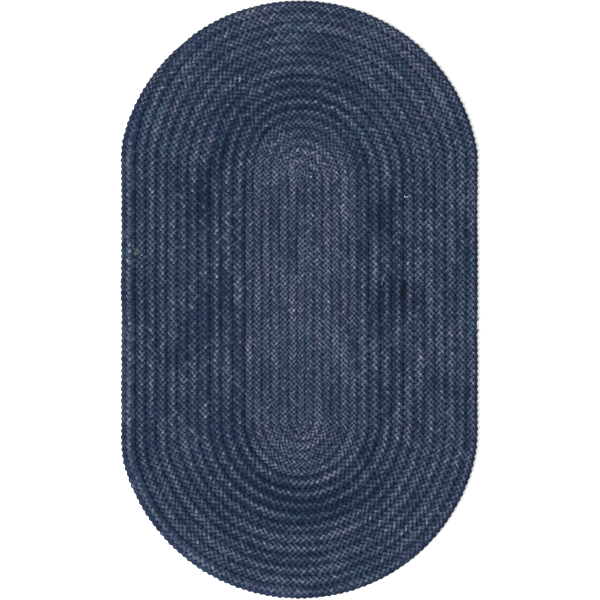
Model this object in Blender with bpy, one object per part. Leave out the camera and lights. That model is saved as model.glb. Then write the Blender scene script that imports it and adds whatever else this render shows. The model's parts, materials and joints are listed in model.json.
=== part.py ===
"""Braided rug: one thick jute plait wound edge to edge into a flat mat with straight sides and round
ends. The rows of the winding stand up as rounded ridges on the top face, and the underside is flat.

Metres. X runs across the rug, Y along it, Z up. The underside lies on z = 0, centred on the origin.
"""

import math

import bmesh
import bpy
from mathutils import Vector

# Overall sizes
RUG_WIDTH = 0.908
RUG_LENGTH = 1.524
HALF_WIDTH = RUG_WIDTH / 2
SPINE_HALF = (RUG_LENGTH - RUG_WIDTH) / 2

# The winding's own spine lies this far to the right of the mat's middle, so the outer row is wider on
# the left side than on the right.
SPINE_SHIFT = 0.0048

# The edge of the mat: the height at which it is widest, and how far it tucks in beneath
RIM_HEIGHT = 0.0048
RIM_TUCK = 0.0045

# The rows of the plait, from the middle outwards. "laps" is how many turns of the winding a zone has,
# "side" the width of a row along the sides and the lower end, "head" its width over the upper end,
# "crest" the height of its middle and "groove" the height of the seam to the next row. The outer row
# fills what is left up to the edge.
ZONES = (
    {"zone": "first row", "laps": 0.5, "side": 0.0204, "head": 0.0204, "crest": 0.0088, "groove": 0.0062},
    {"zone": "heart", "laps": 6.0, "side": 0.0223, "head": 0.0244, "crest": 0.0090, "groove": 0.0062},
    {"zone": "swell", "laps": 4.0, "side": 0.0293, "head": 0.0275, "crest": 0.0104, "groove": 0.0046},
    {"zone": "field", "laps": 6.0, "side": 0.0268, "head": 0.0270, "crest": 0.0098, "groove": 0.0054},
    {"zone": "outer row", "laps": 1.0, "side": 0.0320, "head": 0.0254, "crest": 0.0096, "groove": 0.0054},
)
FIRST_ROW = ZONES[0]["laps"]
EDGE_ROW = sum(zone["laps"] for zone in ZONES)

# How far the mat swells past a true round end where its straight sides run into the ends, how many
# degrees round from the side each swelling peaks, and how fast it fades after that.
SHOULDERS = (
    {"corner": "upper left", "swell": 0.0077, "peak": 13.0, "fade": 1.4},
    {"corner": "upper right", "swell": 0.0044, "peak": 10.0, "fade": 1.2},
    {"corner": "lower right", "swell": 0.0036, "peak": 13.0, "fade": 2.0},
    {"corner": "lower left", "swell": 0.0074, "peak": 14.0, "fade": 2.0},
)

# The slow waver of the sides: its depth, its length along the side and where it starts
WAVERS = (
    {"side": "left", "depth": 0.0009, "length": 0.33, "start": 0.05},
    {"side": "left", "depth": 0.0004, "length": 0.15, "start": 0.00},
    {"side": "right", "depth": 0.0007, "length": 0.27, "start": 0.10},
    {"side": "right", "depth": 0.0005, "length": 0.15, "start": 0.03},
)

# The winding steps out by one row in the upper left end, between these angles from the side, and the
# plait's own end lies there on the edge, where the mat draws in by so much.
STEP_START = 7.5
STEP_END = 67.5
END_ANGLE = 56.0
END_NOTCH = 0.0022

# How finely the winding is cut
SIDE_CUTS = 6
END_CUTS = 24
ROW_CUTS = 4


def smooth(value):
    """0 to 1 with soft ends."""
    value = min(1.0, max(0.0, value))
    return value * value * (3.0 - 2.0 * value)


def zone_sum(row, column):
    """The zones' widths in one column, added up from the middle to a row's place in the winding."""
    total = 0.0
    for zone in ZONES:
        part = min(row, zone["laps"])
        total += part * zone[column]
        row -= part
    return total


def zone_height(row, column):
    """A height from the zones at a row, eased from zone to zone."""
    start = 0.0
    value = ZONES[0][column]
    for before, zone in zip(ZONES, ZONES[1:]):
        start += before["laps"]
        value += (zone[column] - value) * smooth(row - start + 0.5)
    return value


class Cut:
    """One cut across the winding: its foot on the spine, the way it faces, how much wider than a plain
    oval the mat is there, and how much of the step to the next row is done."""

    def __init__(self, foot, degrees, swell, step):
        angle = math.radians(degrees)
        self.foot = Vector((SPINE_SHIFT, foot))
        self.facing = Vector((-math.cos(angle), math.sin(angle)))
        self.swell = swell
        self.step = step
        self.head = max(0.0, math.sin(angle)) ** 2
        self.edge = HALF_WIDTH + swell - SPINE_SHIFT * self.facing.x

    def reach(self, row):
        """How far a row's line lies from the spine here."""
        whole = min(row, EDGE_ROW - 1.0)
        side = zone_sum(whole, "side")
        plain = side + (zone_sum(whole, "head") - side) * self.head
        inner = plain + self.swell * (plain / HALF_WIDTH) ** 3
        return inner + (self.edge - inner) * (row - whole)

    def place(self, row, height, tuck=0.0):
        """The point on a row's line at a height."""
        flat = self.foot + self.facing * (self.reach(row) - tuck)
        return Vector((flat.x, flat.y, height))


def shoulder(number, degrees):
    """The swelling of a corner, so many degrees round from the side."""
    corner = SHOULDERS[number]
    past = degrees - corner["peak"]
    if past < 0:
        return corner["swell"] * smooth(degrees / corner["peak"])
    return corner["swell"] * max(0.0, 1.0 - past / (90.0 - corner["peak"])) ** corner["fade"]


def waver(side, along):
    """The waver of a side, none at its two ends."""
    fade = math.sin(math.pi * along / (2 * SPINE_HALF))
    waves = [wave for wave in WAVERS if wave["side"] == side]
    return fade * sum(
        wave["depth"] * math.sin(2 * math.pi * (along + wave["start"]) / wave["length"])
        for wave in waves
    )


def step_share(degrees):
    """How much of the step out is done, so many degrees round the upper end."""
    return smooth((degrees - STEP_START) / (STEP_END - STEP_START))


def winding_cuts():
    """The cuts, clockwise from the foot of the left side."""
    cuts = []
    for i in range(SIDE_CUTS):
        along = 2 * SPINE_HALF * i / SIDE_CUTS
        cuts.append(Cut(along - SPINE_HALF, 0.0, waver("left", along), 0.0))
    for i in range(END_CUTS):
        degrees = 180.0 * i / END_CUTS
        notch = END_NOTCH * smooth((degrees - END_ANGLE) / 4.0) * smooth((80.0 - degrees) / 20.0)
        swell = shoulder(0, degrees) + shoulder(1, 180.0 - degrees) - notch
        cuts.append(Cut(SPINE_HALF, degrees, swell, step_share(degrees)))
    for i in range(SIDE_CUTS):
        along = 2 * SPINE_HALF * i / SIDE_CUTS
        cuts.append(Cut(SPINE_HALF - along, 180.0, waver("right", along), 1.0))
    for i in range(END_CUTS):
        degrees = 180.0 * i / END_CUTS
        swell = shoulder(2, degrees) + shoulder(3, 180.0 - degrees)
        cuts.append(Cut(-SPINE_HALF, 180.0 + degrees, swell, 1.0))
    return cuts


def row_section(cut, lap):
    """The points across one row at a cut, from its inner seam to its outer one."""
    middle = lap + cut.step
    inner = min(EDGE_ROW, max(FIRST_ROW, middle - 0.5))
    outer = min(EDGE_ROW, max(FIRST_ROW, middle + 0.5))
    crest = zone_height(middle, "crest")
    points = []
    for i in range(ROW_CUTS + 1):
        share = i / ROW_CUTS
        row = inner + (outer - inner) * share
        seam = zone_height(row, "groove")
        seam += (RIM_HEIGHT - seam) * smooth(1.0 - 2.0 * (EDGE_ROW - row))
        round_over = math.sin(math.pi * share) ** 0.6 if 0 < i < ROW_CUTS else 0.0
        height = seam + (crest - seam) * round_over * min(1.0, outer - inner)
        points.append(cut.place(row, height))
    return points


def first_row_section(cut):
    """The points across half of the first row, which lies along the spine."""
    crest = zone_height(0.0, "crest")
    seam = zone_height(FIRST_ROW, "groove")
    shoulder_height = seam + (crest - seam) * 0.8
    return [
        cut.place(0.0, crest),
        cut.place(FIRST_ROW / 2, shoulder_height),
        cut.place(FIRST_ROW, seam),
    ]


def edge_section(cut):
    """The points from the mat's widest line, under the edge and across the flat underside."""
    return [cut.place(EDGE_ROW, RIM_HEIGHT), cut.place(EDGE_ROW, 0.0, RIM_TUCK), cut.place(0.0, 0.0)]


def add_band(shell, here, there):
    """Faces between the sections at two cuts. A corner that two points share becomes one point."""
    for i in range(len(here) - 1):
        corners = []
        for point in (here[i], here[i + 1], there[i + 1], there[i]):
            if all((point - corner).length > 1e-6 for corner in corners):
                corners.append(point)
        if len(corners) > 2:
            shell.faces.new([shell.verts.new(corner) for corner in corners])


def wound_mat():
    """The closed mat: its ridged top, its rounded edge and its flat underside."""
    cuts = winding_cuts()
    shell = bmesh.new()
    for i, here in enumerate(cuts):
        last = i + 1 == len(cuts)
        there = cuts[(i + 1) % len(cuts)]
        for lap in range(int(EDGE_ROW) + 1):
            add_band(shell, row_section(here, lap), row_section(there, lap + last))
        add_band(shell, first_row_section(here), first_row_section(there))
        add_band(shell, edge_section(here), edge_section(there))
    bmesh.ops.remove_doubles(shell, verts=shell.verts, dist=0.00001)
    bmesh.ops.triangulate(shell, faces=shell.faces)
    bmesh.ops.recalc_face_normals(shell, faces=shell.faces)
    across = [vert.co.x for vert in shell.verts]
    along = [vert.co.y for vert in shell.verts]
    middle = Vector((max(across) + min(across), max(along) + min(along), 0.0)) / 2
    bmesh.ops.translate(shell, verts=shell.verts, vec=-middle)
    mesh = bpy.data.meshes.new("braided_rug")
    shell.to_mesh(mesh)
    shell.free()
    return mesh


def jute_material():
    """Dyed jute, slate blue."""
    material = bpy.data.materials.new("slate_jute")
    material.use_nodes = True
    shader = material.node_tree.nodes["Principled BSDF"]
    shader.inputs["Base Color"].default_value = (0.048, 0.066, 0.105, 1.0)
    shader.inputs["Roughness"].default_value = 0.9
    return material


def main():
    for thing in list(bpy.data.objects):
        bpy.data.objects.remove(thing)
    group = bpy.data.collections.new("braided_rug")
    bpy.context.scene.collection.children.link(group)
    rug = bpy.data.objects.new("braided_rug", wound_mat())
    rug.data.materials.append(jute_material())
    group.objects.link(rug)


main()
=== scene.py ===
"""Braided rug, its looks: the three plaited strands of dyed jute, row by row along the winding, the
packed jute between them, dark with painted shade, loose fibres, and the stage.

Metres. X runs across the rug, Y along it, Z up. The underside lies on z = 0, centred on the origin.
"""

import json
import math

import bmesh
import bpy
import numpy as np
from bpy.props import FloatProperty, FloatVectorProperty, IntProperty, PointerProperty
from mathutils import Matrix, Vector

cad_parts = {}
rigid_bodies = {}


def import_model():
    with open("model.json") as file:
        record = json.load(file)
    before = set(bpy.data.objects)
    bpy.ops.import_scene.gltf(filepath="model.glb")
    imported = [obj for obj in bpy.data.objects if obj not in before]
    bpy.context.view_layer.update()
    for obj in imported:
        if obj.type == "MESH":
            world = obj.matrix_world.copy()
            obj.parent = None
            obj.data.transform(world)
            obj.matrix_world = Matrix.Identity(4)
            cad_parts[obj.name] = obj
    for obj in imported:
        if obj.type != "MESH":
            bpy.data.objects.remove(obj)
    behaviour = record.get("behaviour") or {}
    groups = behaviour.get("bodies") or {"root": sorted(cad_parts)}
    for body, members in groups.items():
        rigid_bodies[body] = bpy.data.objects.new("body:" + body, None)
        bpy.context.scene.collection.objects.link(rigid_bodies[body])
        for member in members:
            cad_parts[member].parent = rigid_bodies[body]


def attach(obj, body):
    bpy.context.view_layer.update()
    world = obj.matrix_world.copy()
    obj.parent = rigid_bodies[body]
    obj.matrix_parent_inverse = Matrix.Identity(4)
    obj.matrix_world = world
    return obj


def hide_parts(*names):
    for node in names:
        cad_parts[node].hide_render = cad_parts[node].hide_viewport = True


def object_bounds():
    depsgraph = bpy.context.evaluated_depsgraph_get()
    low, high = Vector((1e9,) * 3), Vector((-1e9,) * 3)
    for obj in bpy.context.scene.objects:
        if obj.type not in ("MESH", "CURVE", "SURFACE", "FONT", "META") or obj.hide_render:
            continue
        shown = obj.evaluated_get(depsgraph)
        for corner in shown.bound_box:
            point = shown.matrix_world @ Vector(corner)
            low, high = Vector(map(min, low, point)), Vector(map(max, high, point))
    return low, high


bl_info = {
    "name": "Braided rug",
    "version": (1, 0, 0),
    "blender": (4, 5, 0),
    "location": "3D View > Sidebar > Rug",
    "description": "Builds the plaited strands, packing and loose fibres of an oval braided rug",
    "category": "Add Mesh",
}

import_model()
CAD_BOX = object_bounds()
BODY = "root"
NODE = "braided_rug"


def table(columns, *rows):
    """Rows of values, each as a dictionary by the names of the columns."""
    return [dict(zip(columns.split(), row)) for row in rows]


# ---------------------------------------------------------------------------------------------
# The winding, with the same sizes as the part
# ---------------------------------------------------------------------------------------------

RUG_WIDTH = 0.908
RUG_LENGTH = 1.524
HALF_WIDTH = RUG_WIDTH / 2
SPINE_HALF = (RUG_LENGTH - RUG_WIDTH) / 2

# The winding's own spine lies this far to the right of the mat's middle, so the outer row is wider on
# the left side than on the right.
SPINE_SHIFT = 0.0048

# The rows of the plait, from the middle outwards. "laps" is how many turns of the winding a zone has,
# "side" the width of a row along the sides and the lower end, "head" its width over the upper end,
# "crest" the height of its middle and "repeat" how far one strand travels before it repeats. The outer
# row fills what is left up to the edge.
ZONES = table(
    "zone laps side head crest repeat",
    ("first row", 0.5, 0.0204, 0.0204, 0.0088, 0.038),
    ("heart", 6.0, 0.0223, 0.0244, 0.0090, 0.039),
    ("swell", 4.0, 0.0293, 0.0275, 0.0104, 0.044),
    ("field", 6.0, 0.0268, 0.0270, 0.0098, 0.045),
    ("outer row", 1.0, 0.0320, 0.0254, 0.0096, 0.046),
)
EDGE_ROW = sum(zone["laps"] for zone in ZONES)
LAPS = int(EDGE_ROW) + 1

# How far the mat swells past a true round end where its straight sides run into the ends, how many
# degrees round from the side each swelling peaks, and how fast it fades after that.
SHOULDERS = table(
    "corner swell peak fade",
    ("upper left", 0.0077, 13.0, 1.4),
    ("upper right", 0.0044, 10.0, 1.2),
    ("lower right", 0.0036, 13.0, 2.0),
    ("lower left", 0.0074, 14.0, 2.0),
)

# The slow waver of the sides: its depth, its length along the side and where it starts
WAVERS = table(
    "side depth length start",
    ("left", 0.0009, 0.33, 0.05),
    ("left", 0.0004, 0.15, 0.00),
    ("right", 0.0007, 0.27, 0.10),
    ("right", 0.0005, 0.15, 0.03),
)

# The winding steps out by one row in the upper left end, between these angles from the side
STEP_START = 7.5
STEP_END = 67.5

# How far the plait's start reaches past the foot of the spine
START_REACH = 0.008

# How finely the course of the plait is worked out: steps along a side and degrees round an end
SIDE_STEP = 0.005
END_STEP = 1.0

# How far round its first end the plait's start is rounded off, in degrees, and how many times over
FIRST_TURN = 100
EASING_ROUNDS = 60

# The pieces that the plait's strands are made in, from one lap to another
STRAND_PIECES = table(
    "piece first last",
    ("strands_heart", 0, 4),
    ("strands_inner", 5, 8),
    ("strands_middle", 9, 11),
    ("strands_outer", 12, 13),
    ("strands_border", 14, 15),
    ("strands_edge", 16, 17),
)

# ---------------------------------------------------------------------------------------------
# Where the jute differs, and what lies loose on it
# ---------------------------------------------------------------------------------------------

# Broad places where the jute is darker or lighter than the rest of its zone: where each lies, how wide
# and long it is, and how much darker (below 0) or lighter it is
STAINS = table(
    "stain x y width length tone",
    ("foot of the swell", 0.000, -0.515, 0.42, 0.14, -0.30),
    ("lower left", -0.200, -0.460, 0.28, 0.28, -0.22),
    ("upper left", -0.180, 0.383, 0.07, 0.09, -0.30),
    ("head of the swell", -0.060, 0.490, 0.30, 0.07, -0.20),
    ("upper right", 0.110, 0.480, 0.08, 0.06, -0.15),
    ("right of the heart", 0.205, 0.235, 0.06, 0.22, -0.20),
    ("low on the right", 0.225, -0.006, 0.13, 0.12, -0.34),
    ("dark knot", 0.260, 0.026, 0.032, 0.060, -0.85),
    ("long seam", 0.196, -0.045, 0.018, 0.17, -0.35),
    ("left seam", -0.246, 0.265, 0.040, 0.14, -0.30),
    ("left of the heart", -0.230, 0.090, 0.09, 0.80, -0.24),
    ("worn head", 0.070, 0.220, 0.18, 0.24, 0.20),
    ("worn heart", -0.010, -0.120, 0.12, 0.42, 0.06),
    ("left side", -0.400, -0.080, 0.22, 1.10, -0.20),
    ("right side", 0.400, 0.000, 0.20, 1.20, 0.06),
    ("upper right side", 0.320, 0.150, 0.14, 0.32, 0.14),
    ("upper left end", -0.250, 0.540, 0.10, 0.07, -0.25),
    ("top", -0.080, 0.580, 0.30, 0.07, -0.22),
    ("bottom", -0.020, -0.650, 0.16, 0.10, -0.18),
)

# Threads that lie loose on the mat: where each starts, how long and how thick it is, which way it sets
# out, how far it bends on its way, and how pale it is
LOOSE_THREADS = table(
    "thread x y length thick heading bend pale",
    ("white curl", 0.2664, 0.2636, 0.0120, 0.0011, -55, 110, 1.0),
    ("hook", -0.1525, 0.5650, 0.0110, 0.0009, -60, -75, 0.9),
    ("hook's tail", -0.1536, 0.5715, 0.0080, 0.0008, -55, -10, 0.3),
    ("upright hair", -0.1880, 0.6385, 0.0200, 0.0006, -90, 5, 0.15),
    ("speck", 0.0297, 0.3143, 0.0022, 0.0018, -50, 0, 0.9),
    ("long wave", 0.2195, 0.0624, 0.0150, 0.0008, -140, 50, 0.3),
    ("long wave's end", 0.2110, 0.0500, 0.0130, 0.0008, -90, -40, 0.3),
    ("low hair", 0.1806, -0.0127, 0.0156, 0.0007, -116, 10, 0.2),
    ("straight hair", 0.1775, 0.1801, 0.0220, 0.0006, -53, 0, 0.2),
    ("left chip", -0.4370, -0.0433, 0.0090, 0.0008, -59, 8, 0.45),
    ("first knot", 0.4548, -0.0448, 0.0060, 0.0036, -90, 0, 0.0),
    ("second knot", 0.4548, -0.0755, 0.0055, 0.0034, -90, 0, 0.0),
    ("left knot", -0.4548, 0.0486, 0.0060, 0.0034, -90, 0, 0.0),
)

# The tuft of undyed jute caught near the left side, and how many fibres it has, how long and how thick
TUFT = {"x": -0.4150, "y": 0.1215, "width": 0.010, "length": 0.018}
TUFT_FIBRES = {"number": 64, "short": 0.002, "long": 0.008, "thick": 0.0005}


# ---------------------------------------------------------------------------------------------
# The course of the plait
# ---------------------------------------------------------------------------------------------


def smooth(value):
    """0 to 1 with soft ends."""
    value = min(1.0, max(0.0, value))
    return value * value * (3.0 - 2.0 * value)


def zone_sum(row, column):
    """The zones' widths in one column, added up from the middle to a row's place in the winding."""
    total = 0.0
    for zone in ZONES:
        part = min(row, zone["laps"])
        total += part * zone[column]
        row -= part
    return total


def zone_value(row, column):
    """A size from the zones at a row, eased from zone to zone."""
    start = 0.0
    value = ZONES[0][column]
    for before, zone in zip(ZONES, ZONES[1:]):
        start += before["laps"]
        value += (zone[column] - value) * smooth(row - start + 0.5)
    return value


def shoulder(number, degrees):
    """The swelling of a corner, so many degrees round from the side."""
    corner = SHOULDERS[number]
    past = degrees - corner["peak"]
    if past < 0:
        return corner["swell"] * smooth(degrees / corner["peak"])
    return corner["swell"] * max(0.0, 1.0 - past / (90.0 - corner["peak"])) ** corner["fade"]


def waver(side, along):
    """The waver of a side, none at its two ends."""
    fade = math.sin(math.pi * along / (2 * SPINE_HALF))
    waves = [wave for wave in WAVERS if wave["side"] == side]
    return fade * sum(
        wave["depth"] * math.sin(2 * math.pi * (along + wave["start"]) / wave["length"])
        for wave in waves
    )


class Cut:
    """One cut across the winding: its foot on the spine, the way it faces, how much wider than a plain
    oval the mat is there, and how much of the step to the next row is done."""

    def __init__(self, foot, degrees, swell, step):
        angle = math.radians(degrees)
        self.foot = Vector((SPINE_SHIFT, foot))
        self.facing = Vector((-math.cos(angle), math.sin(angle)))
        self.swell = swell
        self.step = step
        self.head = max(0.0, math.sin(angle)) ** 2
        self.edge = HALF_WIDTH + swell - SPINE_SHIFT * self.facing.x

    def reach(self, row):
        """How far a row's line lies from the spine here."""
        whole = min(row, EDGE_ROW - 1.0)
        side = zone_sum(whole, "side")
        plain = side + (zone_sum(whole, "head") - side) * self.head
        inner = plain + self.swell * (plain / HALF_WIDTH) ** 3
        return inner + (self.edge - inner) * (row - whole)

    def place(self, reach, height):
        """The point so far from the spine, at a height."""
        flat = self.foot + self.facing * reach
        return Vector((flat.x, flat.y, height))


def winding_cuts():
    """The cuts of one lap, clockwise from the foot of the left side: up it, round the upper end, down
    the right side and round the lower end."""
    cuts = []
    side_steps = round(2 * SPINE_HALF / SIDE_STEP)
    end_steps = round(180 / END_STEP)
    for side, upwards, start, corner in (("left", 1, 0.0, 0), ("right", -1, 180.0, 2)):
        for i in range(side_steps):
            along = 2 * SPINE_HALF * i / side_steps
            step = 0.0 if side == "left" else 1.0
            cuts.append(Cut(upwards * (along - SPINE_HALF), start, waver(side, along), step))
        for i in range(end_steps):
            degrees = 180.0 * i / end_steps
            swell = shoulder(corner, degrees) + shoulder(corner + 1, 180.0 - degrees)
            step = smooth((degrees - STEP_START) / (STEP_END - STEP_START)) if side == "left" else 1.0
            cuts.append(Cut(upwards * SPINE_HALF, start + degrees, swell, step))
    return cuts


class Course:
    """The middle line of the plait from its start at the rug's middle to its end on the edge, cut into
    even steps of the plaiting: where each step lies, which way is outwards, and the row's sizes."""

    def __init__(self, steps_per_repeat, tail_width, overhang):
        places = []
        halves = []
        rows = []
        cuts = winding_cuts()
        for row, cut in ((lap + cut.step, cut) for lap in range(LAPS) for cut in cuts):
            inner = cut.reach(row - 0.5) if row > 0.5 else -cut.reach(0.5 - row)
            outer = cut.reach(min(EDGE_ROW, row + 0.5))
            # Where no room is left for another row, this one goes up to the edge
            gap = cut.reach(EDGE_ROW) - outer
            outer += gap * smooth(2.0 - 2.0 * gap / tail_width)
            half = (outer - inner) / 2
            # The outer row keeps in by what its turns stand out
            spare = smooth(row + 1.5 - EDGE_ROW) * overhang * half
            outer -= spare
            half -= spare / 2
            if half < tail_width / 2:
                break
            places.append(cut.place((outer + inner) / 2, 0.0))
            halves.append(half)
            rows.append(row)
        start = places[0]
        for past in (START_REACH / 2, START_REACH):
            places.insert(0, start - Vector((0.0, past, 0.0)))
            halves.insert(0, halves[0])
            rows.insert(0, rows[0])
        places = self.eased(np.array(places)[:, :2])
        strides = np.linalg.norm(np.diff(places, axis=0), axis=1)
        along = np.concatenate(([0.0], np.cumsum(strides)))
        repeats = np.array([zone_value(row, "repeat") for row in rows])
        turns = np.concatenate(([0.0], np.cumsum(strides / (repeats[1:] + repeats[:-1]) * 2)))
        steps = np.arange(0.0, turns[-1], 1.0 / steps_per_repeat)
        self.turn = steps * 2 * math.pi
        self.along = np.interp(steps, turns, along)
        self.row = np.interp(steps, turns, rows)
        self.half = np.interp(steps, turns, halves)
        self.place = np.stack([np.interp(steps, turns, places[:, i]) for i in (0, 1)], axis=1)
        ahead = np.gradient(self.place, axis=0)
        ahead /= np.linalg.norm(ahead, axis=1)[:, None]
        self.outward = np.stack([-ahead[:, 1], ahead[:, 0]], axis=1)
        self.lap = np.interp(steps, turns, np.arange(len(rows)) / len(cuts))

    @staticmethod
    def eased(places):
        """The line with its first tight turn rounded off."""
        first_turn = round(2 * SPINE_HALF / SIDE_STEP) + round(FIRST_TURN / END_STEP)
        for _ in range(EASING_ROUNDS):
            middle = (places[:-2] + places[2:]) / 2
            places[1:first_turn] += (middle[: first_turn - 1] - places[1:first_turn]) * 0.5
        return places


# ---------------------------------------------------------------------------------------------
# Wiring of node trees
# ---------------------------------------------------------------------------------------------


def operator(operation):
    """The method of a Python operator, which adds a Math node."""
    return lambda wire, other: wire.maths(operation, wire, other)


def reflected(operation):
    """The same where the number stands first, as in 1 - mask."""
    return lambda wire, other: wire.maths(operation, other, wire)


class Wire:
    """An output socket that takes part in Python sums: each operator adds its Math node."""

    def __init__(self, board, socket):
        self.board = board
        self.socket = socket

    __add__, __radd__ = operator("ADD"), reflected("ADD")
    __sub__, __rsub__ = operator("SUBTRACT"), reflected("SUBTRACT")
    __mul__, __rmul__ = operator("MULTIPLY"), reflected("MULTIPLY")
    __truediv__, __rtruediv__ = operator("DIVIDE"), reflected("DIVIDE")
    __pow__, __rpow__ = operator("POWER"), reflected("POWER")

    def also(self, name):
        """Another output of the same node."""
        return Wire(self.board, self.socket.node.outputs[name])

    def maths(self, operation, *values):
        """A Math node."""
        return self.board.node("ShaderNodeMath", {"operation": operation}, dict(enumerate(values)))

    def sine(self):
        return self.maths("SINE", self)

    def size(self):
        """Without its sign."""
        return self.maths("ABSOLUTE", self)

    def sign(self):
        return self.maths("SIGN", self)

    def between(self, low, high):
        """0 at low and 1 at high, with soft ends."""
        return self.board.node(
            "ShaderNodeMapRange",
            {"interpolation_type": "SMOOTHSTEP"},
            {"Value": self, "From Min": low, "From Max": high},
        )


class Board:
    """A node tree being wired."""

    def __init__(self, tree):
        self.tree = tree

    def node(self, kind, settings=None, inputs=None, output=0):
        """Adds a node, sets it, fills its sockets with values or wires and gives one of its outputs."""
        node = self.tree.nodes.new(kind)
        for name, value in (settings or {}).items():
            setattr(node, name, value)
        for name, value in (inputs or {}).items():
            if isinstance(value, Wire):
                self.tree.links.new(value.socket, node.inputs[name])
            else:
                node.inputs[name].default_value = value
        return Wire(self, node.outputs[output]) if node.outputs else None

    def vector(self, operation, first, second):
        """The vector that a Vector Math node gives."""
        inputs = {0: first, "Scale" if operation == "SCALE" else 1: second}
        return self.node("ShaderNodeVectorMath", {"operation": operation}, inputs)

    def joined(self, x, y, z):
        """A vector from three numbers."""
        return self.node("ShaderNodeCombineXYZ", None, {"X": x, "Y": y, "Z": z})

    def parted(self, vector, output="X"):
        """One of a vector's three numbers."""
        return self.node("ShaderNodeSeparateXYZ", None, {"Vector": vector}, output)

    def measured(self, operation, *vectors):
        """The number that a Vector Math node gives."""
        settings = {"operation": operation}
        return self.node("ShaderNodeVectorMath", settings, dict(enumerate(vectors)), "Value")

    def noise(self, place, scale=1.0, detail=1.0):
        """Smooth noise over a place, 0 to 1 and mostly near 0.5."""
        inputs = {"Vector": place, "Scale": scale, "Detail": detail}
        return self.node("ShaderNodeTexNoise", None, inputs)


class GeometryBoard(Board):
    """A Geometry Nodes tree being wired, with its named inputs."""

    SOCKETS = {
        "float": "NodeSocketFloat",
        "int": "NodeSocketInt",
        "material": "NodeSocketMaterial",
        "geometry": "NodeSocketGeometry",
    }

    def __init__(self, name, inputs):
        super().__init__(bpy.data.node_groups.new(name, "GeometryNodeTree"))
        interface = self.tree.interface
        interface.new_socket("Geometry", in_out="OUTPUT", socket_type=self.SOCKETS["geometry"])
        self.identifiers = {}
        for label, kind in ({"Geometry": "geometry"} | inputs).items():
            socket = interface.new_socket(label, in_out="INPUT", socket_type=self.SOCKETS[kind])
            self.identifiers[label] = socket.identifier
        self.entry = self.tree.nodes.new("NodeGroupInput")

    def given(self, label):
        """A named input of the tree."""
        return Wire(self, self.entry.outputs[label])

    def attribute(self, name, kind="FLOAT"):
        """A named attribute."""
        return self.node("GeometryNodeInputNamedAttribute", {"data_type": kind}, {"Name": name})

    def store(self, geometry, name, value, kind="FLOAT"):
        """The geometry with a value kept on its points under a name."""
        inputs = {"Geometry": geometry, "Name": name, "Value": value}
        return self.node("GeometryNodeStoreNamedAttribute", {"data_type": kind}, inputs)

    def line(self):
        """The mesh that the tree is given, as a line."""
        return self.node("GeometryNodeMeshToCurve", None, {"Mesh": self.given("Geometry")})

    def ring(self):
        """A round section, one across."""
        inputs = {"Resolution": self.given("Sides"), "Radius": 0.5}
        return self.node("GeometryNodeCurvePrimitiveCircle", None, inputs)

    def swept(self, line, section, scale):
        """Closed tubes that carry a section along a line."""
        inputs = {"Curve": line, "Profile Curve": section, "Scale": scale, "Fill Caps": True}
        return self.node("GeometryNodeCurveToMesh", None, inputs)

    def finish(self, geometry):
        """Smooths the shading, makes instances real, sets the material and ends the tree."""
        soft = self.node("GeometryNodeSetShadeSmooth", None, {"Geometry": geometry})
        real = self.node("GeometryNodeRealizeInstances", None, {"Geometry": soft})
        inputs = {"Geometry": real, "Material": self.given("Material")}
        dressed = self.node("GeometryNodeSetMaterial", None, inputs)
        self.node("NodeGroupOutput", None, {"Geometry": dressed})


class MaterialBoard(Board):
    """A new material's node tree being wired."""

    def __init__(self, name):
        self.material = bpy.data.materials.new(name)
        self.material.use_nodes = True
        super().__init__(self.material.node_tree)
        self.tree.nodes.clear()

    def attribute(self, name, output="Fac"):
        """A value kept on the mesh under a name."""
        return self.node("ShaderNodeAttribute", {"attribute_name": name}, output=output)

    def place(self):
        """Where a point of the piece lies, in metres."""
        return self.node("ShaderNodeTexCoord", output="Object")

    def mixed(self, share, first, second):
        """A mixture of two colours, each a wire or three numbers."""
        both = [colour if isinstance(colour, Wire) else (*colour, 1.0) for colour in (first, second)]
        inputs = {0: share, 6: both[0], 7: both[1]}
        return self.node("ShaderNodeMix", {"data_type": "RGBA"}, inputs, output=2)

    def bump(self, height, strength, distance):
        """A normal that follows a height."""
        inputs = {"Height": height, "Strength": strength, "Distance": distance}
        return self.node("ShaderNodeBump", None, inputs)

    def finish(self, colour, roughness, shine, normal=None):
        """Ends the tree with its shader and gives the material."""
        inputs = {"Base Color": colour, "Roughness": roughness, "Specular IOR Level": shine}
        if normal:
            inputs["Normal"] = normal
        shader = self.node("ShaderNodeBsdfPrincipled", None, inputs)
        self.node("ShaderNodeOutputMaterial", None, {"Surface": shader})
        return self.material


def placed(name, data):
    """A new object in the scene."""
    made = bpy.data.objects.new(name, data)
    bpy.context.scene.collection.objects.link(made)
    return made


def made_by_nodes(name, start, board, values):
    """A finished object: a mesh after a Geometry Nodes tree, with these values for its inputs."""
    first = placed(name + "_start", start)
    modifier = first.modifiers.new(name, "NODES")
    modifier.node_group = board.tree
    for label, value in values.items():
        modifier[board.identifiers[label]] = value
    graph = bpy.context.evaluated_depsgraph_get()
    mesh = bpy.data.meshes.new_from_object(first.evaluated_get(graph))
    bpy.data.objects.remove(first)
    mesh.name = name
    return placed(name, mesh)


def fitted(piece):
    """The piece set on the rug in place of its plain solid."""
    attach(piece, BODY)
    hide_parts(NODE)
    return piece


# ---------------------------------------------------------------------------------------------
# The strands
# ---------------------------------------------------------------------------------------------

# The inputs of the strands' node tree. The sizes are those of RugSizes, under their names there.
STRAND_SIZES = (
    "Strand width",
    "Strand thickness",
    "Swing",
    "Straightness",
    "Dip",
    "Turn height",
    "Pinch",
    "Lean",
    "Fullness",
    "Unevenness",
)
STRAND_INPUTS = {
    **dict.fromkeys(STRAND_SIZES, "float"),
    "Sides": "int",
    "Seed": "float",
    "Material": "material",
}

# Half the width of a full row, for which the strand's width and thickness are given
FULL_HALF = 0.0134

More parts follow.
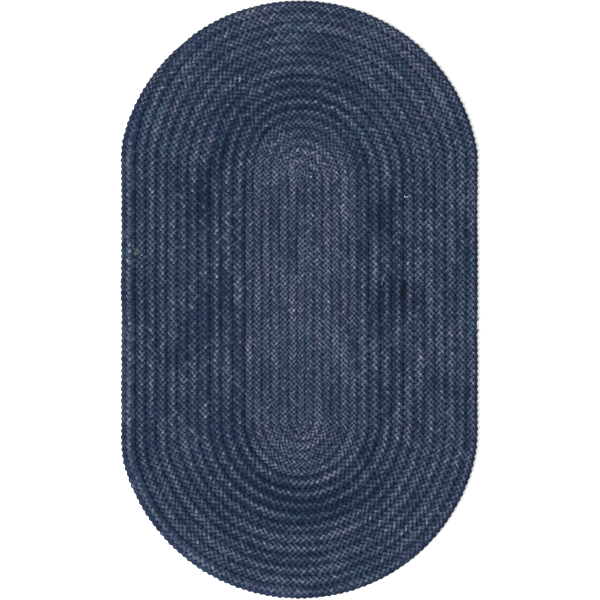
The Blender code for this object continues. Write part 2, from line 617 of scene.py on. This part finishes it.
# How much of half a row the roundness of the turns takes off the mat's edge, on the whole
TURN_ROUND = 0.13

# The shares of a strand's swing over which it climbs from the middle of the plait, and over which it
# dips or rises again towards its turn
CLIMB = 0.22
EASE = 0.2


def plait_tree():
    """Geometry Nodes that turn the plait's middle line into its three strands."""
    board = GeometryBoard("Three-strand plait", STRAND_INPUTS)
    inputs = {"Geometry": board.line(), "Amount": 3}
    copies = board.node("GeometryNodeDuplicateElements", {"domain": "SPLINE"}, inputs)
    copies = board.store(copies, "strand", copies.also("Duplicate Index"))
    strand, turn, half, height = map(board.attribute, ("strand", "turn", "half", "height"))
    outward = board.attribute("outward", "FLOAT_VECTOR")
    phase = turn + strand * (2 * math.pi / 3)

    def wander(repeats, layer):
        """Slow unevenness along a strand, about -1 to 1."""
        place = board.joined(turn / (2 * math.pi * repeats), strand * 5.3, board.given("Seed") + layer)
        return (board.noise(place) - 0.5) * 3.0 * board.given("Unevenness")

    thickness = board.given("Strand thickness")
    pinch = 1.0 - board.given("Pinch") * phase.sine() ** 2
    scale = half / FULL_HALF * pinch * (1.0 + wander(0.35, 0.0))
    straight = phase.maths("ARCSINE", phase.sine()) * (2 / math.pi)
    course = phase.sine() + (straight - phase.sine()) * board.given("Straightness")
    across = half * board.given("Swing") * (1.0 + wander(0.4, 7.0) * 0.5) * course
    swing = course.size()
    dip = board.given("Dip") * (half / FULL_HALF) ** -0.7
    crest = swing.between(0.0, CLIMB) - swing.between(dip - EASE, dip)
    turn_rise = swing.between(dip, dip + EASE) * board.given("Turn height")
    level = crest * (phase * 2).sine().sign() + turn_rise + wander(0.5, 13.0)
    up = height / 2 + (height - thickness) / 2 * level
    up = up.maths("MAXIMUM", up, thickness * scale / 2)
    spot = board.node("GeometryNodeInputPosition")
    copies = board.store(copies, "middle", spot, "FLOAT_VECTOR")
    offset = board.vector("ADD", board.vector("SCALE", outward, across), board.joined(0.0, 0.0, up))
    moved = board.node("GeometryNodeSetPosition", None, {"Geometry": copies, "Offset": offset})
    upright = board.node("GeometryNodeSetCurveNormal", {"mode": "Z_UP"}, {"Curve": moved})
    lean = board.given("Lean") * (phase * 2).sine() * phase.sine()
    leaned = board.node("GeometryNodeSetCurveTilt", None, {"Curve": upright, "Tilt": lean})

    corner = board.parted(spot)
    side, rise = corner.also("Y"), corner * -1.0
    ring = board.store(board.ring(), "around", board.joined(side, rise, 0.0), "FLOAT_VECTOR")
    full = side * (1.0 + board.given("Fullness") * (rise * 2.0) ** 2)
    section = board.joined(full * board.given("Strand width"), rise * thickness, 0.0)
    ring = board.node("GeometryNodeSetPosition", None, {"Geometry": ring, "Position": section})
    aside = board.vector("SUBTRACT", spot, board.attribute("middle", "FLOAT_VECTOR"))
    across_plait = board.measured("DOT_PRODUCT", aside, outward)
    board.finish(board.store(board.swept(leaned, ring, scale), "across", across_plait))
    return board


def keep_on_points(mesh, **values):
    """Keeps numbers on a mesh's points, one for each point, under their names."""
    for name, numbers in values.items():
        mesh.attributes.new(name, "FLOAT", "POINT").data.foreach_set("value", np.float32(numbers))


def course_mesh(name, course, first, last):
    """The plait's middle line over some laps, as a mesh of edges with its sizes on its points."""
    start, end = np.searchsorted(course.lap, (first, last + 1))
    chosen = np.arange(start, min(end + 1, len(course.lap)))
    places = np.column_stack([course.place[chosen], np.zeros(len(chosen))])
    mesh = bpy.data.meshes.new(name + "_course")
    mesh.from_pydata(places.tolist(), [(i, i + 1) for i in range(len(chosen) - 1)], [])
    keep_on_points(
        mesh,
        turn=course.turn[chosen],
        along=course.along[chosen],
        half=course.half[chosen],
        row=course.row[chosen],
        height=[zone_value(row, "crest") for row in course.row[chosen]],
    )
    outward = np.float32(np.column_stack([course.outward[chosen], np.zeros(len(chosen))]))
    kept = mesh.attributes.new("outward", "FLOAT_VECTOR", "POINT")
    kept.data.foreach_set("vector", outward.ravel())
    return mesh


def plait_course(sizes):
    """The plait's course for these sizes. Its outer row leaves room for the turns that stand out."""
    reach = sizes.swing + sizes.strand_width * (1.0 - sizes.pinch) / 2 / FULL_HALF
    return Course(sizes.steps, sizes.tail_width, reach - 1.0 - TURN_ROUND)


# The laps over which the heart turns into the swell, and the swell into the field
SWELL_START = (5.5, 7.5)
FIELD_START = (9.5, 11.5)

# How far off the plait's middle a strand begins its turn, and is all in it
TURN_SPAN = (0.0043, 0.0063)

# The length of a leaf of the plait, over which the tone changes from one to the next
LEAF_LENGTH = 0.010


def strand_jute(colours):
    """Dyed jute strands: fibres that run along them, uneven dye, painted shade low in the plait, on the
    turns and along the strands' sides, and pale flecks, partly thin dye and partly painted glints.
    """
    board = MaterialBoard("strand_jute")
    place = board.place()
    around = board.attribute("around", "Vector")
    along, strand, row = map(board.attribute, ("along", "strand", "row"))
    across, half, crest = map(board.attribute, ("across", "half", "height"))
    facing = board.parted(board.attribute("outward", "Vector"))

    def fibres(fineness, length, layer):
        """Streaks along the strand, 0 to 1. Each layer has its own."""
        wound = board.vector("SCALE", around, fineness)
        run = board.joined(0.0, 0.0, along / length + strand * 31.7 + layer)
        return board.noise(board.vector("ADD", wound, run), detail=3.0)

    def patches(length, layer):
        """Slow change from one stretch of a strand to the next, 0 to 1. Each layer has its own."""
        return board.noise(board.joined(along / length, strand * 0.35, layer), detail=2.0)

    def specks(size, share):
        """Small spots of loose fibre, 0 to 1, where so much of the jute has one."""
        inputs = {"Vector": place, "Scale": 1.0 / size}
        near = board.node("ShaderNodeTexVoronoi", None, inputs, output="Distance")
        chosen = board.parted(near.also("Color"))
        return (1.0 - near.between(0.10, 0.26)) * chosen.between(1.0 - share, 1.04 - share)

    def stained():
        """The tone of the broad stains, with ragged edges."""
        ragged = board.noise(place, scale=30.0, detail=2.0).also("Color")
        shift = board.vector("SCALE", board.vector("SUBTRACT", ragged, (0.5, 0.5, 0.5)), 0.08)
        spread = board.vector("ADD", place, shift)
        tone = 0.0
        for stain in STAINS:
            aside = board.vector("SUBTRACT", spread, (stain["x"], stain["y"], 0.0))
            share = board.vector("MULTIPLY", aside, (2 / stain["width"], 2 / stain["length"], 0.0))
            tone = tone + board.measured("LENGTH", share).between(1.3, 0.3) * stain["tone"]
        return tone

    # Where on the rug, and where in the plait
    field = row.between(*FIELD_START)
    swell = row.between(*SWELL_START) - field
    head = facing.also("Y").between(0.1, 0.7) * field
    # Painted shade on the outer side of the outer row: deepest on the right, least on the left, where
    # the key light falls
    rim_shade = row.between(EDGE_ROW - 1.0, EDGE_ROW - 0.6) * (across / half).between(0.35, 0.75)
    turned = across.size().between(*TURN_SPAN)
    seam = (across.size() / half).between(0.70, 1.0)
    level = board.parted(place, "Z") / crest

    # How light the jute is. "zone" makes the swell and the field darker than the heart, and holds the
    # painted shade on the outer row's outer edge; "stain", "stretch" and "leaf" are the dye's, from
    # broad to fine, and "leaf" is also lighter and more even at the upper end. "shelter", "flank" and
    # "edge" are painted shade low in the plait, on the turns and along each strand's two sides, with
    # painted light again at the seams, and "streaks" are the fibres.
    zone = 1.25 - swell * 0.18 - field * 0.06 - rim_shade * (0.36 + facing * 0.20)
    stain = 1.0 + stained() * (0.5 + turned * 0.9)
    stretch = patches(0.16, 8.0) * (2.2 + swell * 0.9) - 0.10 - swell * 0.45
    leaf = board.noise(board.joined(along / LEAF_LENGTH, strand * 9.1, 12.0))
    leaf = leaf * (1.6 + swell * 0.5 - head * 0.5) + 0.19 - swell * 0.24 + head * 0.22
    # Painted shade where a strand lies low between the others, an even share of it on the turns
    shelter = 0.05 + level.between(0.45, 0.85) * 0.95
    shelter = shelter + turned * (0.9 - shelter)
    # Painted shade on the turned flanks (less at the upper end), painted light again at the seams
    shade = 0.33 + swell * 0.20 + field * 0.11 - head * 0.13
    flank = 1.0 - turned * (shade + (patches(0.10, 15.0) - 0.5) * 1.7) + seam * 0.42
    # Painted shade along each strand's two sides, where it meets the next leaf
    side = (board.parted(around) * 2.0).size()
    edge = 1.0 - side.between(0.52, 0.68) * (1.0 - turned * 0.15)
    streaks = fibres(3.0, 0.007, 0.0).between(0.32, 0.68) * 0.8
    streaks = streaks + fibres(7.0, 0.004, 1.0).between(0.35, 0.65) * 0.6
    light = zone * stain * stretch * leaf * shelter * flank * edge * (0.3 + streaks)

    # The dye: slate, with stretches of teal and mauve that are plainest where the jute is dark
    hue = patches(0.13, 0.0)
    tint = 1.45 - light * 0.50
    dye = board.mixed(hue.between(0.50, 0.68) * 0.80 * tint, colours.slate, colours.teal)
    dye = board.mixed(hue.between(0.50, 0.34) * (0.55 + turned * 0.3) * tint, dye, colours.mauve)

    # Red and green rise later than blue, so dark jute is bluer; all of it gets a painted shade blue
    red = (light - 0.16) ** 1.54 * 1.28
    dyed = board.vector("MULTIPLY", dye, board.joined(red, light ** 1.4, light ** 1.2))
    shade_blue = 0.55 + stain.between(0.0, 0.7) * 0.45
    dyed = board.vector("ADD", dyed, board.vector("SCALE", tuple(colours.shade_blue), shade_blue))

    # Pale flecks: undyed fibre where the dye is thin, and painted glints of the fibres
    bare_and_glint = fibres(7.0, 0.005, 5.0).between(0.68, 0.76) * 0.35 + specks(0.010, 0.30) * 0.45
    relief = fibres(5.0, 0.010, 2.0) + fibres(13.0, 0.008, 3.0) * 0.5
    colour = board.mixed(bare_and_glint, dyed, colours.bare_fibre_and_glint)
    normal = board.bump(relief, strength=0.8, distance=0.0015)
    return board.finish(colour, roughness=0.9, shine=0.25, normal=normal)


# ---------------------------------------------------------------------------------------------
# Loose threads and packing
# ---------------------------------------------------------------------------------------------


def loose_jute(colours):
    """Loose jute fibres, from dyed to undyed."""
    if "loose_jute" in bpy.data.materials:
        return bpy.data.materials["loose_jute"]
    board = MaterialBoard("loose_jute")
    dyed = tuple(share * 0.5 for share in colours.slate)
    colour = board.mixed(board.attribute("pale"), dyed, colours.undyed)
    colour = board.mixed(board.attribute("straw"), colour, colours.straw)
    return board.finish(colour, roughness=0.85, shine=0.3)


def thread_tree():
    """Geometry Nodes that give loose threads, laid as lines, their round section."""
    board = GeometryBoard("Loose threads", {"Sides": "int", "Material": "material"})
    board.finish(board.swept(board.line(), board.ring(), board.attribute("thick")))
    return board


# How high a loose thread arches off the mat, as a share of its length
ARCH = 0.06


def thread_lines(name, threads, cuts):
    """Threads laid as lines of a few cuts. Each is an arc that starts at a place, sets out on a heading
    and bends on its way. It arches a little off the mat."""
    starts = np.array([(thread["x"], thread["y"]) for thread in threads])
    sizes = {
        label: np.array([thread.get(label, 0.0) for thread in threads])
        for label in ("length", "thick", "pale", "straw", "level")
    }
    heading = np.radians([thread["heading"] for thread in threads])
    bend = np.radians([thread["bend"] for thread in threads])
    shares = (np.arange(cuts) + 0.5) / cuts
    angles = heading[:, None] + bend[:, None] * shares
    strides = sizes["length"][:, None] / cuts
    steps = np.stack([np.cos(angles) * strides, np.sin(angles) * strides], axis=2)
    flat = np.concatenate([np.zeros((len(threads), 1, 2)), np.cumsum(steps, axis=1)], axis=1)
    flat += starts[:, None, :]
    arch = np.sin(np.pi * np.arange(cuts + 1) / cuts) * sizes["length"][:, None] * ARCH
    up = (sizes["level"] + sizes["thick"] / 2)[:, None] + arch
    points = np.concatenate([flat, up[:, :, None]], axis=2).reshape(-1, 3)
    firsts = [i * (cuts + 1) + j for i in range(len(threads)) for j in range(cuts)]
    mesh = bpy.data.meshes.new(name + "_lines")
    mesh.from_pydata(points.tolist(), [(first, first + 1) for first in firsts], [])
    kept = {label: np.repeat(sizes[label], cuts + 1) for label in ("thick", "pale", "straw")}
    keep_on_points(mesh, **kept)
    return mesh


def packed_jute(colours):
    """The jute packed between the strands, coloured dark as painted shade."""
    board = MaterialBoard("packed_jute")
    noise = board.noise(board.place(), scale=400.0, detail=3.0)
    # Painted shade: the packing is seen only through the gaps, so it takes the shade blue and a dim
    # slate
    colour = board.mixed(noise, colours.shade_blue, tuple(share * 0.4 for share in colours.slate))
    normal = board.bump(noise, strength=0.5, distance=0.001)
    return board.finish(colour, roughness=0.95, shine=0.2, normal=normal)


# ---------------------------------------------------------------------------------------------
# Settings, and the operators that make the pieces
# ---------------------------------------------------------------------------------------------

COLOUR = {"subtype": "COLOR", "min": 0, "max": 1}
LENGTH = {"unit": "LENGTH", "precision": 4}


class RugColours(bpy.types.PropertyGroup):
    """Colours of the dyed jute."""

    slate: FloatVectorProperty(
        name="Slate", description="Main dye", default=(0.0315, 0.0423, 0.0600), **COLOUR
    )
    teal: FloatVectorProperty(
        name="Teal", description="Greener strands", default=(0.0235, 0.0465, 0.0600), **COLOUR
    )
    mauve: FloatVectorProperty(
        name="Mauve", description="Redder strands", default=(0.0372, 0.0395, 0.0630), **COLOUR
    )
    # Partly thin dye, partly painted glints of the fibres
    bare_fibre_and_glint: FloatVectorProperty(
        name="Bare fibre", description="Where the dye is thin", default=(0.12, 0.15, 0.20), **COLOUR
    )
    undyed: FloatVectorProperty(
        name="Undyed", description="Undyed fibre", default=(0.66, 0.73, 0.80), **COLOUR
    )
    # Painted shade: the blue of the gaps and the packing, also added to all the strands
    shade_blue: FloatVectorProperty(
        name="Deepest", description="Dye in the gaps", default=(0.0000, 0.0030, 0.0198), **COLOUR
    )
    straw: FloatVectorProperty(
        name="Straw", description="Raw jute", default=(0.105, 0.138, 0.150), **COLOUR
    )


class RugFuzz(bpy.types.PropertyGroup):
    """The loose fibres that stand off the plait."""

    flecks: IntProperty(name="Flecks", description="Short frayed ends", default=1700, min=0, max=4000)
    hairs: IntProperty(name="Hairs", description="Long fine fibres", default=1300, min=0, max=4000)
    sides: IntProperty(name="Sides", description="Faces round a fibre", default=3, min=3, max=8)
    seed: IntProperty(name="Seed", description="Of their places", default=11)


class RugSizes(bpy.types.PropertyGroup):
    """Sizes of the plait's strands."""

    strand_width: FloatProperty(
        name="Strand width", description="Of a strand in a full row", default=0.0112, **LENGTH
    )
    strand_thickness: FloatProperty(
        name="Strand thickness", description="Of a flattened strand", default=0.0062, **LENGTH
    )
    swing: FloatProperty(
        name="Swing", description="How far out a strand turns, as a share of half the row", default=0.75
    )
    straightness: FloatProperty(
        name="Straightness", description="Of a strand's way across the plait", default=0.7, min=0, max=1
    )
    dip: FloatProperty(
        name="Dip", description="Where a strand is drawn down, as a share of its swing", default=0.68
    )
    turn_height: FloatProperty(
        name="Turn height", description="Of a strand's turn over the middle of the plait", default=0.55
    )
    pinch: FloatProperty(
        name="Pinch", description="How far a strand narrows where it turns", default=0.0, min=0, max=0.6
    )
    lean: FloatProperty(
        name="Lean", description="How far a strand rolls over", unit="ROTATION", default=0.05
    )
    fullness: FloatProperty(
        name="Fullness", description="How square the strands are pressed", default=0.15, min=0, max=1
    )
    unevenness: FloatProperty(
        name="Unevenness", description="Of the hand plaiting", default=0.13, min=0.0, max=0.5
    )
    sides: IntProperty(name="Sides", description="Faces round a strand", default=5, min=5, max=16)
    steps: IntProperty(
        name="Steps", description="Cuts along one repeat of the plait", default=28, min=8, max=32
    )
    tail_width: FloatProperty(
        name="Tail width", description="Of the plait where it is cut off", default=0.009, **LENGTH
    )


class RUG_OT_strands(bpy.types.Operator):
    """Plait the three strands along the winding"""

    bl_idname = "rug.strands"
    bl_label = "Plaited strands"

    # Of the strands' unevenness
    SEED = 3.0

    def execute(self, context):
        sizes = context.scene.rug_sizes
        values = {label: getattr(sizes, label.lower().replace(" ", "_")) for label in STRAND_SIZES}
        values["Sides"] = sizes.sides
        values["Seed"] = self.SEED
        values["Material"] = strand_jute(context.scene.rug_colours)
        course = plait_course(sizes)
        board = plait_tree()
        for row in STRAND_PIECES:
            line = course_mesh(row["piece"], course, row["first"], row["last"])
            piece = fitted(made_by_nodes(row["piece"], line, board, values))
            if not piece.data.polygons:
                raise RuntimeError("no strands were made for " + row["piece"])
        return {"FINISHED"}


class RUG_OT_fuzz(bpy.types.Operator):
    """Scatter the frayed ends and fine hairs over the plait"""

    bl_idname = "rug.fuzz"
    bl_label = "Loose fibres"

    # The two kinds of fibre: lengths and thicknesses from and to, how far they swing off the run of the
    # plait, how far they bend, and how pale the palest is
    KINDS = table(
        "kind short long thin thick swing bend pale",
        ("flecks", 0.003, 0.008, 0.0006, 0.0012, 60, 50, 0.16),
        ("hairs", 0.008, 0.020, 0.0003, 0.0005, 80, 120, 0.30),
    )
    CUTS = 3

    # How far out on the plait a fibre may lie, as a share of its half, and how much lower it lies there
    REACH = 0.95
    FALL = 0.18

    def execute(self, context):
        fuzz = context.scene.rug_fuzz
        course = plait_course(context.scene.rug_sizes)
        chance = np.random.RandomState(fuzz.seed)
        threads = []
        for kind in self.KINDS:
            for _ in range(getattr(fuzz, kind["kind"])):
                i = chance.randint(len(course.turn))
                aside = chance.uniform(-self.REACH, self.REACH)
                place = course.place[i] + course.outward[i] * course.half[i] * aside
                run = math.degrees(math.atan2(-course.outward[i][0], course.outward[i][1]))
                crest = zone_value(course.row[i], "crest")
                threads.append({
                    "x": place[0],
                    "y": place[1],
                    "level": crest * (1.0 - self.FALL * aside ** 2),
                    "length": chance.uniform(kind["short"], kind["long"]),
                    "thick": chance.uniform(kind["thin"], kind["thick"]),
                    "heading": run + chance.uniform(-1, 1) * kind["swing"],
                    "bend": chance.uniform(-1, 1) * kind["bend"],
                    "pale": kind["pale"] * chance.uniform(0, 1) ** 2,
                })
        lines = thread_lines("fuzz", threads, self.CUTS)
        material = loose_jute(context.scene.rug_colours)
        values = {"Sides": fuzz.sides, "Material": material}
        fitted(made_by_nodes("fuzz", lines, thread_tree(), values))
        return {"FINISHED"}


class RUG_OT_lint(bpy.types.Operator):
    """Lay the loose threads, the edge knots and the tuft of undyed jute"""

    bl_idname = "rug.lint"
    bl_label = "Loose threads"

    CUTS = 8
    SIDES = 6
    SEED = 5

    # The heights that the threads lie at: on the mat, at its edge past so far out, and in the tuft
    TOP_LEVEL = 0.0106
    EDGE_LEVEL = 0.0044
    EDGE_PLACE = 0.45
    TUFT_LEVEL = 0.0100

    def execute(self, context):
        threads = []
        for thread in LOOSE_THREADS:
            level = self.EDGE_LEVEL if abs(thread["x"]) > self.EDGE_PLACE else self.TOP_LEVEL
            threads.append({**thread, "level": level})
        chance = np.random.RandomState(self.SEED)
        for _ in range(TUFT_FIBRES["number"]):
            aside, ahead = chance.uniform(-0.26, 0.26, 2)
            threads.append({
                "x": TUFT["x"] + TUFT["width"] * aside,
                "y": TUFT["y"] + TUFT["length"] * ahead,
                "level": self.TUFT_LEVEL,
                "length": chance.uniform(TUFT_FIBRES["short"], TUFT_FIBRES["long"]),
                "thick": TUFT_FIBRES["thick"],
                "heading": math.degrees(math.atan2(ahead, aside)) + chance.uniform(-40, 40),
                "bend": chance.uniform(-60, 60),
                "pale": 0.0,
                "straw": chance.uniform(0.5, 1.0),
            })
        lines = thread_lines("lint", threads, self.CUTS)
        values = {"Sides": self.SIDES, "Material": loose_jute(context.scene.rug_colours)}
        fitted(made_by_nodes("lint", lines, thread_tree(), values))
        return {"FINISHED"}


class RUG_OT_packing(bpy.types.Operator):
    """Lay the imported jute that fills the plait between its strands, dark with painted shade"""

    bl_idname = "rug.packing"
    bl_label = "Packed jute"

    # The heights of its two faces, how far it keeps inside the mat's edge, and how many cuts of the
    # winding go to one of its own
    LOW = 0.0038
    HIGH = 0.0056
    EDGE_GAP = 0.0012
    COARSENESS = 4

    def execute(self, context):
        cuts = winding_cuts()[:: self.COARSENESS]
        reaches = [[cut.reach(i + 0.5) for cut in cuts] for i in range(int(EDGE_ROW))]
        reaches.append([cut.reach(EDGE_ROW) - self.EDGE_GAP for cut in cuts])
        mat = bmesh.new()

        def band(inner, outer, order=1):
            """Faces between two closed rows of points."""
            for i in range(len(cuts)):
                j = (i + 1) % len(cuts)
                mat.faces.new((inner[i], outer[i], outer[j], inner[j])[::order])

        edges = []
        for height, order in ((self.HIGH, 1), (self.LOW, -1)):
            rings = [
                [mat.verts.new(cut.place(reach, height)) for cut, reach in zip(cuts, row)]
                for row in reaches
            ]
            mat.faces.new(rings[0][::-order])
            for inner, outer in zip(rings, rings[1:]):
                band(inner, outer, order)
            edges.append(rings[-1])
        band(*edges)
        bmesh.ops.triangulate(mat, faces=mat.faces)
        bmesh.ops.recalc_face_normals(mat, faces=mat.faces)
        mesh = bpy.data.meshes.new("packing")
        mat.to_mesh(mesh)
        mat.free()
        mesh.materials.append(packed_jute(context.scene.rug_colours))
        piece = fitted(placed("packing", mesh))
        others = [bpy.data.objects[row["piece"]] for row in STRAND_PIECES]
        others += [bpy.data.objects["fuzz"], bpy.data.objects["lint"]]
        return {"FINISHED"}


class StageSettings(bpy.types.PropertyGroup):
    """Camera, floor and light."""

    view_width: FloatProperty(
        name="View width", description="Seen across the picture", unit="LENGTH", default=1.528
    )
    lens: FloatProperty(name="Lens", description="Focal length", unit="CAMERA", default=100.0)
    key_power: FloatProperty(name="Key light", description="Power", unit="POWER", default=1180.0)
    key_turn: FloatProperty(
        name="Key direction", description="Round from +X", unit="ROTATION", default=math.radians(200)
    )
    key_height: FloatProperty(
        name="Key elevation", description="Above the floor", unit="ROTATION", default=math.radians(38)
    )
    key_distance: FloatProperty(
        name="Key distance", description="From the rug", unit="LENGTH", default=9.0
    )
    key_size: FloatProperty(
        name="Key size", description="Side of the light", unit="LENGTH", default=3.5
    )
    fill: FloatProperty(name="Fill", description="Strength of the room's light", default=1.05)
    floor: FloatVectorProperty(
        name="Floor", description="Floor colour", default=(0.92, 0.92, 0.92), **COLOUR
    )


class RUG_OT_stage(bpy.types.Operator):
    """Set the floor, the light and the camera straight above the rug"""

    bl_idname = "rug.stage"
    bl_label = "Stage"

    SENSOR = 0.036

    # Half the floor's side, how far it lies below the rug, and how far the camera is off the middle
    FLOOR_HALF = 12.0
    FLOOR_DROP = 0.0003
    CAMERA_X = 0.0013
    CAMERA_Y = -0.0008

    def execute(self, context):
        stage = context.scene.rug_stage
        scene = context.scene
        mesh = bpy.data.meshes.new("floor")
        corners = [(x, y, 0) for x, y in ((-1, -1), (1, -1), (1, 1), (-1, 1))]
        mesh.from_pydata([Vector(corner) * self.FLOOR_HALF for corner in corners], [], [(0, 1, 2, 3)])
        material = bpy.data.materials.new("floor_paint")
        material.use_nodes = True
        shader = material.node_tree.nodes["Principled BSDF"]
        shader.inputs["Base Color"].default_value = (*stage.floor, 1.0)
        shader.inputs["Roughness"].default_value = 1.0
        shader.inputs["Specular IOR Level"].default_value = 0.0
        mesh.materials.append(material)
        floor = placed("floor", mesh)
        floor.location.z = -self.FLOOR_DROP

        camera = placed("camera", bpy.data.cameras.new("camera"))
        camera.data.lens = stage.lens
        camera.data.sensor_width = self.SENSOR * 1000
        distance = stage.view_width * stage.lens / (self.SENSOR * 1000)
        camera.location = (self.CAMERA_X, self.CAMERA_Y, distance + CAD_BOX[1][2])
        scene.camera = camera

        light = bpy.data.lights.new("key", "AREA")
        light.shape = "SQUARE"
        light.size = stage.key_size
        light.energy = stage.key_power
        key = placed("key", light)
        flat = math.cos(stage.key_height) * stage.key_distance
        key.location = (
            flat * math.cos(stage.key_turn),
            flat * math.sin(stage.key_turn),
            math.sin(stage.key_height) * stage.key_distance,
        )
        key.rotation_euler = (-key.location).to_track_quat("-Z", "Y").to_euler()

        world = bpy.data.worlds.new("room")
        world.use_nodes = True
        background = world.node_tree.nodes["Background"]
        background.inputs["Color"].default_value = (1.0, 1.0, 1.0, 1.0)
        background.inputs["Strength"].default_value = stage.fill
        scene.world = world
        scene.view_settings.view_transform = "Standard"
        return {"FINISHED"}


class RUG_PT_panel(bpy.types.Panel):
    """The rug's sizes, colours and pieces"""

    bl_idname = "RUG_PT_panel"
    bl_label = "Braided rug"
    bl_space_type = "VIEW_3D"
    bl_region_type = "UI"
    bl_category = "Rug"

    def draw(self, context):
        for group in GROUPS:
            settings = getattr(context.scene, group)
            box = self.layout.box()
            for name in settings.bl_rna.properties.keys():
                if name not in ("rna_type", "name"):
                    box.prop(settings, name)
        for made in OPERATORS:
            self.layout.operator(made.bl_idname)


# The groups of settings, by their names on the scene
GROUPS = {
    "rug_sizes": RugSizes,
    "rug_fuzz": RugFuzz,
    "rug_colours": RugColours,
    "rug_stage": StageSettings,
}
OPERATORS = (RUG_OT_stage, RUG_OT_strands, RUG_OT_fuzz, RUG_OT_lint, RUG_OT_packing)
CLASSES = (*GROUPS.values(), *OPERATORS, RUG_PT_panel)


def register():
    for made in CLASSES:
        bpy.utils.register_class(made)
    for name, group in GROUPS.items():
        setattr(bpy.types.Scene, name, PointerProperty(type=group))


def unregister():
    for name in GROUPS:
        delattr(bpy.types.Scene, name)
    for made in reversed(CLASSES):
        bpy.utils.unregister_class(made)


def main():
    register()
    bpy.ops.rug.stage()
    bpy.ops.rug.strands()
    bpy.ops.rug.fuzz()
    bpy.ops.rug.lint()
    bpy.ops.rug.packing()


if __name__ == "__main__":
    main()
